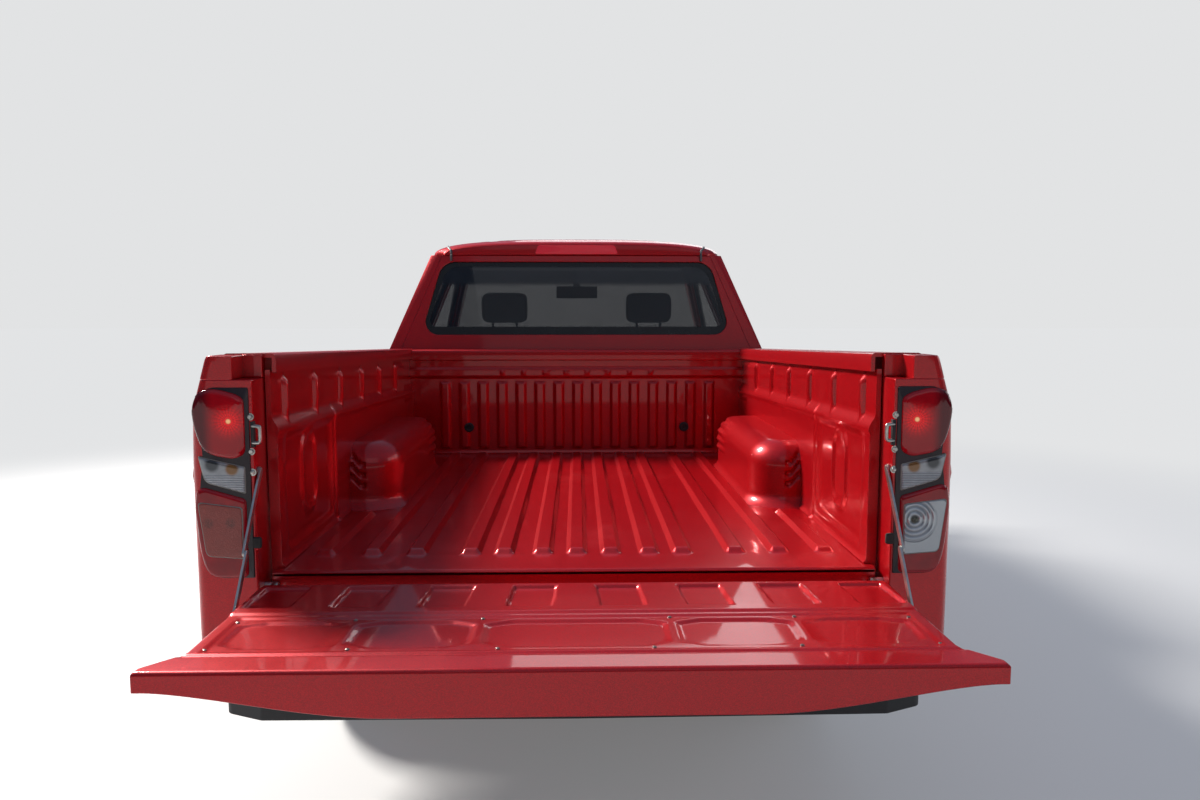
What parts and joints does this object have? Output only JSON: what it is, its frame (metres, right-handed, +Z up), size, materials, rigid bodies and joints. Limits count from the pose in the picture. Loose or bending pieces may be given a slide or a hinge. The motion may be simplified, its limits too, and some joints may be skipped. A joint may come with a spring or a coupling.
{
  "type": "pickup truck",
  "caption": "Extended-cab pickup truck with an open ribbed cargo bed, drop-down tailgate on folding stays, opening doors and hood, steered front wheels and turning wheels.",
  "frame": {"origin": "on the ground under the middle of the truck's overall box, with the tailgate lying open", "axes": "+Y towards the front of the truck, +X to its right-hand side, +Z up"},
  "size_m": [2.1896, 5.77, 1.7897],
  "materials": {
    "red_paint": "bright metallic red with clear coat",
    "black_plastic": "grained black plastic",
    "glass": "lightly tinted window glass",
    "red_lens": "clear red lamp lens",
    "clear_lens": "clear lamp lens over a reflector",
    "black_steel": "satin black paint",
    "bare_steel": "bright zinc plating",
    "cast_metal": "as cast",
    "floor_mat": "moulded floor covering",
    "seat_fabric": "dark woven fabric",
    "rubber": "black tyre rubber",
    "wheel_silver": "silver paint"
  },
  "bodies": {
    "truck": {"chassis_frame": "black_steel", "front_suspension": "black_steel", "rear_axle": "black_steel", "propeller_shaft": "black_steel", "exhaust": "bare_steel", "fuel_tank": "black_steel", "spare_wheel": "rubber", "engine_block": "cast_metal", "cab_floor": "floor_mat", "cab_sides": "red_paint", "cab_back": "red_paint", "roof_panel": "red_paint", "cab_glass": "glass", "front_fenders": "red_paint", "front_bumper": "black_plastic", "grille": "black_plastic", "headlamps": "clear_lens", "dashboard": "black_plastic", "seats": "seat_fabric", "bed_floor": "red_paint", "bed_sides": "red_paint", "bed_bulkhead": "red_paint", "rear_lamps": "red_lens", "rear_bumper": "black_plastic"},
    "hood": {"hood": "red_paint"},
    "tailgate": {"tailgate": "red_paint"},
    "stay_upper_left": {"stay_upper_left": "bare_steel"},
    "stay_lower_left": {"stay_lower_left": "bare_steel"},
    "front_door_left": {"front_door_left": "red_paint", "front_door_glass_left": "glass", "door_mirror_left": "black_plastic"},
    "access_door_left": {"access_door_left": "red_paint", "access_door_glass_left": "glass"},
    "knuckle_left": {"knuckle_left": "black_steel"},
    "wheel_front_left": {"rim_front_left": "wheel_silver", "tyre_front_left": "rubber"},
    "wheel_rear_left": {"rim_rear_left": "wheel_silver", "tyre_rear_left": "rubber"},
    "stay_upper_right": {"stay_upper_right": "bare_steel"},
    "stay_lower_right": {"stay_lower_right": "bare_steel"},
    "front_door_right": {"front_door_right": "red_paint", "front_door_glass_right": "glass", "door_mirror_right": "black_plastic"},
    "access_door_right": {"access_door_right": "red_paint", "access_door_glass_right": "glass"},
    "knuckle_right": {"knuckle_right": "black_steel"},
    "wheel_front_right": {"rim_front_right": "wheel_silver", "tyre_front_right": "rubber"},
    "wheel_rear_right": {"rim_rear_right": "wheel_silver", "tyre_rear_right": "rubber"}
  },
  "joints": [
    {"name": "tailgate_hinge", "type": "hinge", "parent": "truck", "child": "tailgate", "pos_m": [0, -2.307, 0.77], "axis": [-1, 0, 0], "range_deg": [0, 90]},
    {"name": "hood_hinge", "type": "hinge", "parent": "truck", "child": "hood", "pos_m": [0, 1.71, 1.114], "axis": [1, 0, 0], "range_deg": [0, 50]},
    {"name": "stay_upper_left", "type": "hinge", "parent": "truck", "child": "stay_upper_left", "pos_m": [-0.743, -2.325, 1.055], "axis": [1, 0, 0], "range_deg": [0, 36.2]},
    {"name": "stay_lower_left", "type": "hinge", "parent": "stay_upper_left", "child": "stay_lower_left", "pos_m": [-0.743, -2.44785, 0.88715], "axis": [-1, 0, 0], "range_deg": [0, 183.7]},
    {"name": "front_door_left", "type": "hinge", "parent": "truck", "child": "front_door_left", "pos_m": [-0.928, 1.435, 0.8], "axis": [0, 0, -1], "range_deg": [0, 65]},
    {"name": "access_door_left", "type": "hinge", "parent": "truck", "child": "access_door_left", "pos_m": [-0.928, -0.039, 0.8], "axis": [0, 0, 1], "range_deg": [0, 80]},
    {"name": "steering_left", "type": "hinge", "parent": "truck", "child": "knuckle_left", "pos_m": [-0.695, 1.98, 0.375], "axis": [0, 0, 1], "range_deg": [-32, 32]},
    {"name": "wheel_front_left_spin", "type": "hinge", "parent": "knuckle_left", "child": "wheel_front_left", "pos_m": [-0.785, 1.98, 0.375], "axis": [1, 0, 0], "continuous": true},
    {"name": "wheel_rear_left_spin", "type": "hinge", "parent": "truck", "child": "wheel_rear_left", "pos_m": [-0.785, -1.145, 0.375], "axis": [1, 0, 0], "continuous": true},
    {"name": "stay_upper_right", "type": "hinge", "parent": "truck", "child": "stay_upper_right", "pos_m": [0.743, -2.325, 1.055], "axis": [1, 0, 0], "range_deg": [0, 36.2]},
    {"name": "stay_lower_right", "type": "hinge", "parent": "stay_upper_right", "child": "stay_lower_right", "pos_m": [0.743, -2.44785, 0.88715], "axis": [-1, 0, 0], "range_deg": [0, 183.7]},
    {"name": "front_door_right", "type": "hinge", "parent": "truck", "child": "front_door_right", "pos_m": [0.928, 1.435, 0.8], "axis": [0, 0, 1], "range_deg": [0, 65]},
    {"name": "access_door_right", "type": "hinge", "parent": "truck", "child": "access_door_right", "pos_m": [0.928, -0.039, 0.8], "axis": [0, 0, -1], "range_deg": [0, 80]},
    {"name": "steering_right", "type": "hinge", "parent": "truck", "child": "knuckle_right", "pos_m": [0.695, 1.98, 0.375], "axis": [0, 0, 1], "range_deg": [-32, 32]},
    {"name": "wheel_front_right_spin", "type": "hinge", "parent": "knuckle_right", "child": "wheel_front_right", "pos_m": [0.785, 1.98, 0.375], "axis": [1, 0, 0], "continuous": true},
    {"name": "wheel_rear_right_spin", "type": "hinge", "parent": "truck", "child": "wheel_rear_right", "pos_m": [0.785, -1.145, 0.375], "axis": [1, 0, 0], "continuous": true}
  ],
  "couplings": [
    {"joint": "stay_upper_left", "follows": "tailgate_hinge", "ratio": 0.4022},
    {"joint": "stay_lower_left", "follows": "tailgate_hinge", "ratio": 2.04},
    {"joint": "stay_upper_right", "follows": "tailgate_hinge", "ratio": 0.4022},
    {"joint": "stay_lower_right", "follows": "tailgate_hinge", "ratio": 2.04},
    {"joint": "steering_right", "follows": "steering_left", "ratio": 1}
  ]
}
